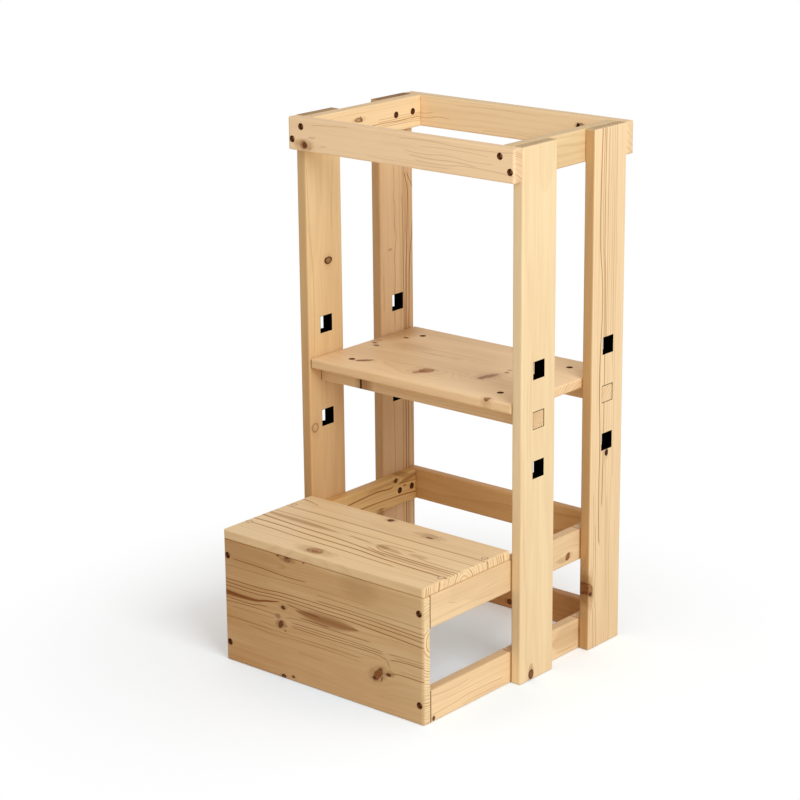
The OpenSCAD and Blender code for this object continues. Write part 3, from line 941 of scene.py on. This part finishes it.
class Pine:
    """Solid pine of one board, whose colour is built up tint by tint"""

    def __init__(self, name, board):
        low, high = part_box(name)
        self.wood = bpy.context.scene.stool_wood
        self.board = board
        self.shader = Shader(bpy.data.materials.new(name))
        self.middle = (low + high) / 2 / MM
        self.length = (high[board.along] - low[board.along]) / MM
        self.set_grain()
        self.set_rings()
        self.set_bare_wood()

    def noise(self, kind, place):
        """One of the grain's noises"""
        periods, seed_step, detail = NOISES[kind]
        return self.shader.noise(place, periods, self.board.seed + seed_step, detail)

    def tint(self, share, tint, mode="MULTIPLY"):
        """Lays a tint over a share of the colour"""
        self.colour = self.shader.blend(share, self.colour, opaque(tint), mode)

    def set_grain(self):
        """Places in the board, and its grain bent round the knots"""
        board, shader = self.board, self.shader
        centred = shader.node(
            "ShaderNodeVectorMath", {"operation": "SUBTRACT"},
            {0: shader.position(), 1: tuple(self.middle)},
        )
        parts = shader.parts(centred)
        self.along, self.across = parts[board.along], parts[board.across]
        self.depth = parts[sum(AXES) - board.along - board.across]
        place = shader.vector(self.along, self.across, self.depth)
        wobble = self.noise("wobble", place)
        self.chips = self.noise("chips", place)
        self.marks = [self.knot_marks(knot, wobble) for knot in board.knots]
        self.bent = self.across + self.noise("sway", place) * board.sway
        for mark in self.marks:
            self.bent = self.bent - mark.push
        grainwise = shader.vector(self.along, self.bent, self.depth)
        self.swell = self.noise("swell", grainwise)
        self.ripple = self.noise("ripple", grainwise)
        self.cloud = self.noise("cloud", grainwise)
        self.flame = self.noise("flame", grainwise)
        self.fibre = self.noise("fibre", grainwise)

    def knot_marks(self, knot, wobble):
        """A knot's core, its bark rim, the stain round it and its push on the grain"""
        offset = self.across - knot.across
        run = self.along - knot.along - offset * knot.slant
        u = run / knot.half_along
        v = offset / knot.half_across
        push = offset / ((u / PUSH_STRETCH) ** 2 + v * v * PUSH_SPREAD + PUSH_SOFTNESS)
        square = u * u + v * v
        if knot.half_depth:
            square = square + ((self.depth - knot.depth) / knot.half_depth) ** 2
        reach = square.root() + wobble * KNOT_WOBBLE + self.chips * KNOT_CHIPS
        core = 1 - reach.rise(*CORE_END)
        rim = reach.rise(*RIM_START) * (1 - reach.rise(*RIM_END))
        stain = (u / HALO_ALONG) ** 2 + (v / HALO_ACROSS) ** 2 + wobble * HALO_WOBBLE
        return KnotMarks(core, rim, 1 - stain.rise(*HALO_END), reach, push)

    def set_rings(self):
        """Growth rings round the pith, and where they show as end grain or on an edge"""
        board, shader = self.board, self.shader
        side = self.bent - board.pith[0]
        rise = self.depth - board.pith[1] - self.along * PITH_DRIFT
        radius = (side * side + rise * rise).root() + self.swell * board.warp
        radius = radius + self.ripple * RIPPLE_REACH
        spacing = shader.node(
            "ShaderNodeTexNoise", {"noise_dimensions": "1D"},
            {"W": radius * (RING_WANDER / board.ring) + board.seed, "Scale": 1.0, "Detail": 0.0},
        )
        count = radius / board.ring + spacing * RING_BUNCHING
        ring = count.math("FRACT")
        which = shader.node(
            "ShaderNodeTexWhiteNoise", {"noise_dimensions": "1D"},
            {"W": count.math("FLOOR") + board.seed},
        )
        late = ring.rise(*LATE_RISE) ** LATE_POWER * (1 - ring.rise(*LATE_FALL))
        late = late * (which * which * (1 - board.even) + board.even)
        band_middle, band_half, band_gain = board.band
        self.band = (1 - abs((self.bent - band_middle) / band_half).rise(*BAND_END)) * band_gain
        normals = shader.parts(shader.node("ShaderNodeTexCoord", {}, {}, "Normal"))
        self.end_grain = abs(normals[board.along]).rise(*END_TURN)
        self.narrow_face = abs(normals[board.across]).rise(*EDGE_TURN)
        end_rings = self.end_grain * board.end_rings
        contrast = (self.band + end_rings + board.contrast).least(1.0)
        self.rings = late * contrast

    def set_bare_wood(self):
        """Early wood between the pale and the deep colour, with the rings' late wood"""
        board = self.board
        # More of the deep colour towards the start of the length; on the legs this is painted shade,
        # darker towards the floor
        fade = (0.5 - self.along / self.length) * board.fade
        dark = self.cloud * CLOUD_SHADE + self.flame * FLAME_SHADE + self.band * BAND_SHADE
        dark = dark + self.end_grain * board.end_shade + fade + board.shade
        self.colour = self.shader.blend(dark, opaque(self.wood.pale), opaque(self.wood.deep))
        self.tint(self.rings, self.wood.late)

    def add_streaks(self):
        """Pointed brown streaks along the grain"""
        for streak in self.board.streaks:
            away = self.along - streak.along
            run = away / streak.half_length
            line = self.bent - streak.across - away * streak.slope + self.ripple * STREAK_RIPPLE
            narrowing = (1 - run * run).most(STREAK_TIP)
            reach = abs(line) / (narrowing * streak.half_width)
            self.tint((1 - reach.rise(*STREAK_END)) * streak.strength, self.wood.heart_and_shade)

    def add_patches(self):
        """Soft darker patches of wood, a few of them painted shadow"""
        for patch in self.board.patches:
            square = ((self.along - patch.along) / patch.half_along) ** 2
            square = square + ((self.across - patch.across) / patch.half_across) ** 2
            square = square + self.cloud * PATCH_CLOUD
            self.tint(square.ramp(*PATCH_END, patch.strength, 0.0), self.wood.heart_and_shade)

    def add_lines(self):
        """Drawn growth lines, where a board has them"""
        if not self.board.lines:
            return
        across = self.across + self.ripple * LINE_RIPPLE
        figure = highest(self.line_mark(across, line) for line in self.board.lines)
        strength = self.flame * LINE_FLAME + LINE_GAIN
        self.tint(figure * strength * (1 - self.end_grain), self.wood.late)

    def line_mark(self, across, line):
        """Mask of a drawn growth line, faded at the ends that lie within the board"""
        first, last = line.points[0][0], line.points[-1][0]
        levels = [level for place, level in line.points]
        run = last - first
        low = min(levels) - LINE_MARGIN
        span = max(levels) + LINE_MARGIN - low
        points = [((place - first) / run, (level - low) / span) for place, level in line.points]
        share = self.along.ramp(first, last, 0.0, 1.0)
        curve = self.shader.node("ShaderNodeFloatCurve", {"points": points}, {1: share})
        aside = abs(across - curve.ramp(0.0, 1.0, low, low + span))
        if line.tip != 1.0:
            aside = aside / share.ramp(0.0, 1.0, 1.0, line.tip)
        half = line.half_width
        mark = aside.ramp(half * LINE_CORE, half * LINE_END, line.strength, 0.0)
        fade = min(LINE_FADE / run, 0.5)
        if first > LINE_MARGIN + LINE_FADE - self.length / 2:
            mark = mark * share.ramp(0.0, fade, 0.0, 1.0)
        if last < self.length / 2 - LINE_MARGIN - LINE_FADE:
            mark = mark * share.ramp(1 - fade, 1.0, 1.0, 0.0)
        return mark

    def add_knots(self):
        """Knots with their own rings, bark rims and halos"""
        wood = self.wood
        for knot, mark in zip(self.board.knots, self.marks):
            self.tint(mark.halo * knot.halo, wood.heart_and_shade)
            rings = (mark.reach * KNOT_RINGS).math("FRACT").rise(*KNOT_RING_RISE) * KNOT_RING_GAIN
            rings = rings + KNOT_RING_FLOOR + self.chips * KNOT_RING_CHIPS
            self.tint(mark.core * rings * knot.core, wood.core)
            self.tint(mark.rim * knot.rim, wood.rim)
            if knot.black:
                self.tint(mark.core * knot.black, wood.rim)

    def add_faces(self):
        """The board's own tone, the shadows of its joints, its end grain, its narrow faces darkened
        partly as edge grain and partly as painted shade, and its fibres
        """
        board, wood, shader = self.board, self.wood, self.shader
        self.tint(1.0, board.tone)
        # Painted shadow: dark brown laid near the board's butt ends, where the next board meets it
        if board.butt:
            half = self.length / 2
            end_shadow = abs(self.along).rise(half - BUTT_SHADOW, half - BUTT_SHADOW / 2)
            self.tint(end_shadow * board.butt, wood.shade_and_seam, "MIX")
        # Painted shade: brown laid in the corners where other boards pass in front of this one
        for joint in board.joints:
            corner = 1 - (abs(self.along - joint) / JOINT_SHADOW).rise(*JOINT_END)
            self.tint(corner * JOINT_SHARE, wood.heart_and_shade)
        self.tint(self.end_grain * board.end, wood.end)
        # Narrow faces darker: partly edge grain, partly painted shade for their dimmer light
        self.tint(self.narrow_face * board.edge, wood.edge)
        tone = self.fibre * FIBRE_SHADE + FIBRE_MIDDLE
        fibres = shader.vector(tone, tone, tone)
        self.colour = shader.blend(FIBRE_SHARE, self.colour, fibres, "OVERLAY")

    def nearest(self, holes):
        """How far a point lies from the nearest hole's middle"""
        board = self.board
        return lowest(
            (
                (self.along - (hole - self.middle)[board.along]) ** 2
                + (self.across - (hole - self.middle)[board.across]) ** 2
            ).root()
            for hole in holes
        )

    def add_bores(self, holes):
        """Painted shade: darker brown laid over the counterbores' walls. Gives their mask."""
        wall = COUNTERBORE_RADIUS + WALL_MARGIN
        cavity = 1 - self.nearest(holes).rise(wall, wall + WALL_MARGIN)
        self.tint(cavity, self.wood.shade_and_seam, "MIX")
        return cavity

    def add_seams(self, plugs):
        """The dark seam round each plug"""
        seam = self.nearest(plugs).rise(PLUG_RADIUS - 3 * WALL_MARGIN, PLUG_RADIUS - WALL_MARGIN)
        self.tint(seam * (self.flame * SEAM_FLAME + SEAM_SHARE), self.wood.shade_and_seam, "MIX")

    def mortise_walls_and_rim_shade(self):
        """Mask of the square holes' walls, and of a thin rim round their mouths that is painted shade
        """
        lowest_level = LOWEST_SILL + MORTISE_HALF - self.middle[self.board.along]
        levels = [lowest_level + row * MORTISE_PITCH for row in range(MORTISE_COUNT)]
        out = lowest(abs(self.along - level).most(abs(self.across)) for level in levels)
        return 1 - out.rise(MORTISE_HALF + 2 * WALL_MARGIN, MORTISE_HALF + 3 * WALL_MARGIN)

    def material(self, holes=(), plugs=()):
        """The finished material, with its bores, seams and mortises"""
        shader = self.shader
        self.add_streaks()
        self.add_patches()
        self.add_lines()
        self.add_knots()
        self.add_faces()
        cavity = self.add_bores(holes) if holes else 0.0
        if plugs:
            self.add_seams(plugs)
        relief = self.fibre * FIBRE_RELIEF + self.rings * RING_RELIEF + self.flame * FLAME_RELIEF
        bump = shader.node(
            "ShaderNodeBump", {},
            {"Strength": self.wood.relief, "Distance": RELIEF_HEIGHT, "Height": relief},
        )
        rough = self.fibre * FIBRE_ROUGH + self.flame * FLAME_ROUGH + self.end_grain * END_ROUGH
        roughness = (rough + self.wood.roughness).most(cavity)
        planed = shader.node(
            "ShaderNodeBsdfPrincipled", {},
            {
                "Base Color": self.colour, "Roughness": roughness, "Normal": bump,
                "Specular IOR Level": WOOD_SPECULAR,
            },
        )
        if not self.board.mortised:
            return shader.end(planed)
        dark = shader.node(
            "ShaderNodeBsdfPrincipled", {},
            {"Base Color": opaque(self.wood.mortise), "Roughness": 1.0, "Specular IOR Level": 0.0},
        )
        # The walls' own black, and painted shade on a thin rim round each mouth
        walls = self.mortise_walls_and_rim_shade()
        return shader.end(shader.node("ShaderNodeMixShader", {}, {0: walls, 1: planed, 2: dark}))


def highest(values):
    """The largest of several values"""
    return reduce(Socket.most, values)


def lowest(values):
    """The smallest of several values"""
    return reduce(Socket.least, values)


def finish_boards(boards):
    """Gives each CAD board of a group its own pine"""
    for name, board in boards.items():
        material = Pine(name, board).material(holes=holes_of(name))
        frame["nodes"][name].data.materials.clear()
        frame["nodes"][name].data.materials.append(material)


PATINA_PERIOD = 3.0
PATINA_SHADE = 0.4
PATINA_SHARE = 0.35
WORN_METAL = 0.45
METAL_GRAIN_PERIOD = 0.25
METAL_RELIEF = 0.15
METAL_RELIEF_HEIGHT = 0.05 * MM
METAL_ROUGHNESS = 0.42
PATINA_ROUGH = 0.12
METAL_GRAIN_ROUGH = 0.05


def bronzed_steel():
    """Metal of the screws, with a browned patina"""
    metal = bpy.context.scene.stool_screws.metal
    shader = Shader(bpy.data.materials.new("bronzed_steel"))
    placed = shader.position()
    patina = shader.noise(placed, (PATINA_PERIOD,) * 3, seed=2.0, detail=3.0)
    grain = shader.noise(placed, (METAL_GRAIN_PERIOD,) * 3, seed=5.0, detail=2.0)
    worn = opaque([value * WORN_METAL for value in metal])
    colour = shader.blend(patina * PATINA_SHADE + PATINA_SHARE, opaque(metal), worn)
    bump = shader.node(
        "ShaderNodeBump", {},
        {"Strength": METAL_RELIEF, "Distance": METAL_RELIEF_HEIGHT, "Height": grain},
    )
    roughness = patina * PATINA_ROUGH + grain * METAL_GRAIN_ROUGH + METAL_ROUGHNESS
    return shader.end(shader.node(
        "ShaderNodeBsdfPrincipled", {},
        {"Base Color": colour, "Metallic": 1.0, "Roughness": roughness, "Normal": bump},
    ))


def deselect():
    """Clears the selection"""
    if bpy.context.object and bpy.context.object.mode != "OBJECT":
        bpy.ops.object.mode_set(mode="OBJECT")
    bpy.ops.object.select_all(action="DESELECT")


def pick_faces(piece, test):
    """Selects, in edit mode, the faces that pass a test on their centre and normal"""
    bpy.ops.object.mode_set(mode="EDIT")
    bpy.ops.mesh.select_mode(type="FACE")
    bpy.ops.mesh.select_all(action="DESELECT")
    bpy.ops.object.mode_set(mode="OBJECT")
    for face in piece.data.polygons:
        face.select = test(face.center, face.normal)
    bpy.ops.object.mode_set(mode="EDIT")


# The screws, in millimetres, with each step of the dome as its radius and its height
HEAD_RADIUS = 4.0
HEAD_RIM = 1.0
HEAD_SIDES = 32
HEAD_STEPS = ((3.9, 0.25), (3.55, 0.45), (2.9, 0.45), (2.1, 0.35))
RECESS_HALF = 2.5
RECESS_WIDTH = 0.95
RECESS_DEPTH = 1.9
RECESS_FLOOR_SHARE = 0.45
TIP = 5.0
TIP_STEPS = ((0.8, 0.4), (0.6, 0.3), (0.15, 0.3))
THREAD_STEPS = 18
THREAD_FLANKS = ((0, 0.4), (1, 0.2), (0, 0.06), (-1, 0.34))
MERGE_DISTANCE = 0.001
INTO_HEAD = 0.2
LEVEL_SLACK = 0.01
SCREW_SMOOTH = math.radians(32)
TURN_SEED = 5
FACING = 0.9


def screw_head():
    """The domed head with its cross recess, in millimetres, seated at the origin"""
    deselect()
    bpy.ops.mesh.primitive_cylinder_add(
        vertices=HEAD_SIDES, radius=HEAD_RADIUS, depth=HEAD_RIM, location=(0, 0, HEAD_RIM / 2)
    )
    head = bpy.context.object
    bpy.ops.object.transform_apply(location=True, rotation=False, scale=False)
    pick_faces(head, lambda centre, normal: normal.z > FACING)
    radius = HEAD_RADIUS
    for step_radius, step_height in HEAD_STEPS:
        bpy.ops.mesh.extrude_region_move(TRANSFORM_OT_translate={"value": (0, 0, step_height)})
        share = step_radius / radius
        bpy.ops.transform.resize(value=(share, share, 1))
        radius = step_radius
    bpy.ops.object.mode_set(mode="OBJECT")
    top = max(corner.co.z for corner in head.data.vertices)
    for turn in (0, math.pi / 2):
        cut_recess(head, top, turn)
    return head


def cut_recess(head, top, turn):
    """One slot of the cross recess, narrower at its floor"""
    deselect()
    bpy.ops.mesh.primitive_cube_add(size=1, location=(0, 0, top))
    cutter = bpy.context.object
    cutter.scale = (2 * RECESS_HALF, RECESS_WIDTH, 2 * RECESS_DEPTH)
    cutter.rotation_euler = (0, 0, turn)
    bpy.ops.object.transform_apply(location=True, rotation=True, scale=True)
    pick_faces(cutter, lambda centre, normal: normal.z < -FACING)
    bpy.ops.transform.resize(value=(RECESS_FLOOR_SHARE, RECESS_FLOOR_SHARE, 1))
    deselect()
    head.select_set(True)
    bpy.context.view_layer.objects.active = head
    cut = head.modifiers.new("recess", "BOOLEAN")
    cut.operation = "DIFFERENCE"
    cut.object = cutter
    cut.solver = "EXACT"
    bpy.ops.object.modifier_apply(modifier=cut.name)
    bpy.data.objects.remove(cutter)


def screw_thread(length, pitch, root, crest):
    """The threaded shank, in millimetres, from the seat down to the tip"""
    deselect()
    turns = math.ceil((length + 2 * pitch) / pitch)
    start = -length - pitch
    bpy.ops.mesh.primitive_plane_add(size=root, location=(root, 0, start))
    thread = bpy.context.object
    bpy.ops.object.transform_apply(location=True, rotation=False, scale=False)
    bpy.ops.object.mode_set(mode="EDIT")
    bpy.ops.mesh.select_mode(type="VERT")
    bpy.ops.mesh.select_all(action="SELECT")
    bpy.ops.mesh.merge(type="CENTER")
    for out, up in THREAD_FLANKS:
        step = (out * (crest - root), 0, up * pitch)
        bpy.ops.mesh.extrude_region_move(TRANSFORM_OT_translate={"value": step})
    bpy.ops.object.mode_set(mode="OBJECT")
    wind = thread.modifiers.new("thread", "SCREW")
    wind.axis = "Z"
    wind.angle = math.tau
    wind.screw_offset = pitch
    wind.iterations = turns
    wind.steps = THREAD_STEPS
    wind.render_steps = THREAD_STEPS
    wind.use_merge_vertices = True
    wind.merge_threshold = MERGE_DISTANCE
    bpy.ops.object.modifier_apply(modifier=wind.name)
    shank_end = TIP - length
    for level, clear_above in ((INTO_HEAD, True), (shank_end, False)):
        bpy.ops.object.mode_set(mode="EDIT")
        bpy.ops.mesh.select_all(action="SELECT")
        bpy.ops.mesh.bisect(
            plane_co=(0, 0, level), plane_no=(0, 0, 1), use_fill=True,
            clear_outer=clear_above, clear_inner=not clear_above,
        )
        bpy.ops.object.mode_set(mode="OBJECT")
    pick_faces(thread, lambda centre, normal: abs(centre.z - shank_end) < LEVEL_SLACK)
    for share, drop in TIP_STEPS:
        bpy.ops.mesh.extrude_region_move(TRANSFORM_OT_translate={"value": (0, 0, -TIP * drop)})
        bpy.ops.transform.resize(value=(share, share, 1), center_override=(0, 0, shank_end))
    bpy.ops.mesh.select_all(action="SELECT")
    bpy.ops.mesh.normals_make_consistent(inside=False)
    bpy.ops.object.mode_set(mode="OBJECT")
    return thread


def screw_blank(length):
    """One whole screw, seated at the origin with its head up, in metres"""
    screws = bpy.context.scene.stool_screws
    head = screw_head()
    thread = screw_thread(length / MM, screws.pitch / MM, screws.root / MM, screws.crest / MM)
    deselect()
    head.select_set(True)
    thread.select_set(True)
    bpy.context.view_layer.objects.active = head
    bpy.ops.object.join()
    bpy.ops.object.shade_smooth_by_angle(angle=SCREW_SMOOTH)
    head.data.transform(Matrix.Scale(MM, 4))
    return head


def turned_copy(blank, place, turn):
    """A copy of a blank with its own mesh, turned about its axis and set in its seat"""
    copy = blank.copy()
    copy.data = blank.data.copy()
    bpy.context.scene.collection.objects.link(copy)
    aim = place.facing.to_track_quat("Z", "Y").to_matrix().to_4x4()
    copy.data.transform(Matrix.Translation(place.seat) @ aim @ Matrix.Rotation(turn, 4, "Z"))
    return copy


PLUG_SIDES = 40
PLUG_BEVEL = 0.12
PLUG_PROUD = 0.06
PLUG_CROWN = 0.05
PLUG_SMOOTH = math.radians(40)
FLAT = 0.99


def plug_blank(thickness):
    """One plug with eased edges and a slightly crowned face, in millimetres"""
    deselect()
    bpy.ops.mesh.primitive_cylinder_add(
        vertices=PLUG_SIDES, radius=PLUG_RADIUS, depth=thickness, location=(0, 0, -thickness / 2)
    )
    plug = bpy.context.object
    bpy.ops.object.transform_apply(location=True, rotation=False, scale=False)
    pick_faces(plug, lambda centre, normal: abs(normal.z) > FACING)
    bpy.ops.mesh.bevel(offset=PLUG_BEVEL, segments=2, affect="EDGES")
    bpy.ops.object.mode_set(mode="OBJECT")
    pick_faces(plug, lambda centre, normal: normal.z > FLAT)
    bpy.ops.mesh.inset(thickness=PLUG_RADIUS / 3)
    bpy.ops.transform.translate(value=(0, 0, PLUG_CROWN))
    bpy.ops.object.mode_set(mode="OBJECT")
    bpy.ops.object.shade_smooth_by_angle(angle=PLUG_SMOOTH)
    plug.data.transform(Matrix.Scale(MM, 4))
    return plug


def joined(copies, name, material):
    """Copies joined into one piece of one material"""
    deselect()
    for copy in copies:
        copy.select_set(True)
    piece = copies[0]
    bpy.context.view_layer.objects.active = piece
    bpy.ops.object.join()
    piece.name = name
    piece.data.materials.clear()
    piece.data.materials.append(material)
    return piece


def make_plugs():
    """The plugs that stand for the CAD node, grain along the tread's width"""
    low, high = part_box(PLUG_NODE)
    blank = plug_blank((high.z - low.z) / MM)
    seats = [place.seat for place in ALL_SCREWS[PLUGGED_SCREWS]]
    copies = []
    for seat in seats:
        top = Vector((seat.x, seat.y, high.z + PLUG_PROUD * MM))
        copies.append(turned_copy(blank, ScrewPlace(top, Vector((0, 0, 1)), 0.0), 0.0))
    bpy.data.objects.remove(blank)
    material = Pine(PLUG_NODE, PLUGS).material(plugs=[seat / MM for seat in seats])
    plugs = joined(copies, "tread_wood_plugs", material)
    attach(plugs, frame["nodes"][PLUG_NODE]["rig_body"])
    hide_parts(PLUG_NODE)


def make_screws(node, draws, blanks, material):
    """The threaded screws that stand for one CAD node"""
    copies = []
    for place in ALL_SCREWS[node]:
        size = round(place.length / MM)
        if size not in blanks:
            blanks[size] = screw_blank(size * MM)
        copies.append(turned_copy(blanks[size], place, draws.uniform(0, math.tau)))
    piece = joined(copies, node.replace("_screws", "_threaded_screws"), material)
    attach(piece, frame["nodes"][node]["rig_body"])
    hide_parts(node)


CAMERA_PLACE = (2.2035, -2.6319, 1.4359)
CAMERA_TURN = (73.395, 0.518, 40.278)
CAMERA_SHIFT = (-0.0025, -0.0146)
SENSOR_WIDTH = 36
FLOOR_SIZE = 40.0
FLOOR_WARM = (0.93, 0.89, 0.84)
FLOOR_COOL = (0.74, 0.88, 1.0)
FLOOR_PLAIN = (0.93, 0.97, 1.0)
FLOOR_MIDDLE = (0.0, -60.0, 0.0)
COOL_END = (120, 330)
SHADOW_END = (250, 720)
FLOOR_GLOW = 0.2
WHITE = (1.0, 1.0, 1.0)
SKY_TINT = (1.0, 0.965, 0.925)
WHITE_RAYS = ("Is Camera Ray", "Is Glossy Ray", "Is Transmission Ray")
AIM = Vector((0.0, 0.0, 0.4))
KEY_PLACE = Vector((2.2, -0.85, 1.9))
KEY_SIZE = 1.5
KEY_TINT = (0.97, 0.99, 1.0)


def make_key_light():
    """A large square light that faces the stool"""
    light = bpy.data.lights.new("key_light", "AREA")
    light.shape = "SQUARE"
    light.size = KEY_SIZE
    light.energy = bpy.context.scene.stool_stage.key
    light.color = KEY_TINT
    holder = bpy.data.objects.new("key_light", light)
    bpy.context.scene.collection.objects.link(holder)
    holder.location = KEY_PLACE
    holder.rotation_euler = (AIM - KEY_PLACE).to_track_quat("-Z", "Y").to_euler()


def make_floor():
    """A white floor that keeps the stool's shadow"""
    deselect()
    bpy.ops.mesh.primitive_plane_add(size=FLOOR_SIZE, location=(0, 0, 0))
    floor = bpy.context.object
    floor.name = "floor"
    shader = Shader(bpy.data.materials.new("floor_white"))
    camera_ray = shader.node("ShaderNodeLightPath", {}, {}, "Is Camera Ray")
    distance = shader.node(
        "ShaderNodeVectorMath", {"operation": "DISTANCE"},
        {0: shader.position(), 1: FLOOR_MIDDLE}, "Value",
    )
    seen = shader.blend(distance.rise(*COOL_END), opaque(FLOOR_COOL), opaque(FLOOR_PLAIN))
    white_paint = shader.blend(camera_ray, opaque(FLOOR_WARM), seen)
    paint = shader.node("ShaderNodeBsdfDiffuse", {}, {"Color": white_paint})
    glow = shader.node(
        "ShaderNodeEmission", {}, {"Color": opaque(WHITE), "Strength": camera_ray * FLOOR_GLOW}
    )
    both = shader.node("ShaderNodeAddShader", {}, {0: paint, 1: glow})
    white = shader.node("ShaderNodeEmission", {}, {"Color": opaque(WHITE)})
    far = distance.rise(*SHADOW_END) * camera_ray
    mixed = shader.node("ShaderNodeMixShader", {}, {0: far, 1: both, 2: white})
    floor.data.materials.append(shader.end(mixed))


def make_world():
    """Even light, with white where the camera looks past the floor"""
    world = bpy.data.worlds.new("studio")
    bpy.context.scene.world = world
    shader = Shader(world, "ShaderNodeOutputWorld")
    seen = highest(shader.node("ShaderNodeLightPath", {}, {}, name) for name in WHITE_RAYS)
    strength = bpy.context.scene.stool_stage.sky
    sky = shader.node("ShaderNodeBackground", {}, {"Color": opaque(SKY_TINT), "Strength": strength})
    white = shader.node("ShaderNodeBackground", {}, {"Color": opaque(WHITE), "Strength": 1.0})
    shader.end(shader.node("ShaderNodeMixShader", {}, {0: seen, 1: sky, 2: white}))


def make_camera():
    """The camera at the picture's viewing angle"""
    camera = bpy.data.cameras.new("camera")
    camera.lens = bpy.context.scene.stool_stage.lens
    camera.sensor_width = SENSOR_WIDTH
    camera.shift_x, camera.shift_y = CAMERA_SHIFT
    holder = bpy.data.objects.new("camera", camera)
    bpy.context.scene.collection.objects.link(holder)
    holder.location = CAMERA_PLACE
    holder.rotation_euler = [math.radians(angle) for angle in CAMERA_TURN]
    bpy.context.scene.camera = holder


class STOOL_OT_stage(bpy.types.Operator):
    """Adds the floor, the lights and the camera"""

    bl_idname = "stool.stage"
    bl_label = "Make the studio"

    def execute(self, context):
        make_camera()
        make_floor()
        make_world()
        make_key_light()
        context.scene.view_settings.view_transform = "Standard"
        return {"FINISHED"}


class STOOL_OT_legs(bpy.types.Operator):
    """Finishes the four mortised legs"""

    bl_idname = "stool.legs"
    bl_label = "Finish the legs"

    def execute(self, context):
        finish_boards(LEGS)
        return {"FINISHED"}


class STOOL_OT_top_rails(bpy.types.Operator):
    """Finishes the rails of the top frame"""

    bl_idname = "stool.top_rails"
    bl_label = "Finish the top rails"

    def execute(self, context):
        finish_boards(TOP_RAILS)
        return {"FINISHED"}


class STOOL_OT_base_rails(bpy.types.Operator):
    """Finishes the step rails and the foot rails"""

    bl_idname = "stool.base_rails"
    bl_label = "Finish the base rails"

    def execute(self, context):
        finish_boards(BASE_RAILS)
        return {"FINISHED"}


class STOOL_OT_step(bpy.types.Operator):
    """Finishes the riser and the tread"""

    bl_idname = "stool.step"
    bl_label = "Finish the step"

    def execute(self, context):
        finish_boards(PANELS)
        return {"FINISHED"}


class STOOL_OT_plugs(bpy.types.Operator):
    """Makes the plugs over the tread's screws"""

    bl_idname = "stool.plugs"
    bl_label = "Make the plugs"

    def execute(self, context):
        make_plugs()
        return {"FINISHED"}


class STOOL_OT_platform(bpy.types.Operator):
    """Finishes the platform board and the bars it rests on"""

    bl_idname = "stool.platform"
    bl_label = "Finish the platform"

    def execute(self, context):
        finish_boards(PLATFORM)
        return {"FINISHED"}


class STOOL_OT_screws(bpy.types.Operator):
    """Makes the threaded screws with their cross recesses"""

    bl_idname = "stool.screws"
    bl_label = "Make the screws"

    def execute(self, context):
        draws = random.Random(TURN_SEED)
        blanks = {}
        material = bronzed_steel()
        for node in SCREW_NODES:
            make_screws(node, draws, blanks, material)
        for blank in blanks.values():
            bpy.data.objects.remove(blank)
        return {"FINISHED"}


class STOOL_PT_panel(bpy.types.Panel):
    """Lists the steps of the finish"""

    bl_idname = "STOOL_PT_panel"
    bl_label = "Kitchen helper stool"
    bl_space_type = "VIEW_3D"
    bl_region_type = "UI"
    bl_category = "Stool"

    def draw(self, context):
        for step in STEPS:
            self.layout.operator(step.bl_idname)


SETTINGS = {
    "stool_wood": StoolWoodSettings,
    "stool_screws": StoolScrewSettings,
    "stool_stage": StoolStageSettings,
}

STEPS = (
    STOOL_OT_stage,
    STOOL_OT_legs,
    STOOL_OT_top_rails,
    STOOL_OT_base_rails,
    STOOL_OT_step,
    STOOL_OT_plugs,
    STOOL_OT_platform,
    STOOL_OT_screws,
)


def register():
    """Registers the settings, the steps and the panel"""
    for name, group in SETTINGS.items():
        bpy.utils.register_class(group)
        setattr(bpy.types.Scene, name, bpy.props.PointerProperty(type=group))
    for step in (*STEPS, STOOL_PT_panel):
        bpy.utils.register_class(step)


def unregister():
    """Takes them out again"""
    for step in (STOOL_PT_panel, *reversed(STEPS)):
        bpy.utils.unregister_class(step)
    for name, group in reversed(SETTINGS.items()):
        delattr(bpy.types.Scene, name)
        bpy.utils.unregister_class(group)


def main():
    """Runs every step in order"""
    register()
    bpy.ops.stool.stage()
    bpy.ops.stool.legs()
    bpy.ops.stool.top_rails()
    bpy.ops.stool.base_rails()
    bpy.ops.stool.step()
    bpy.ops.stool.plugs()
    bpy.ops.stool.platform()
    bpy.ops.stool.screws()


if __name__ == "__main__":
    main()
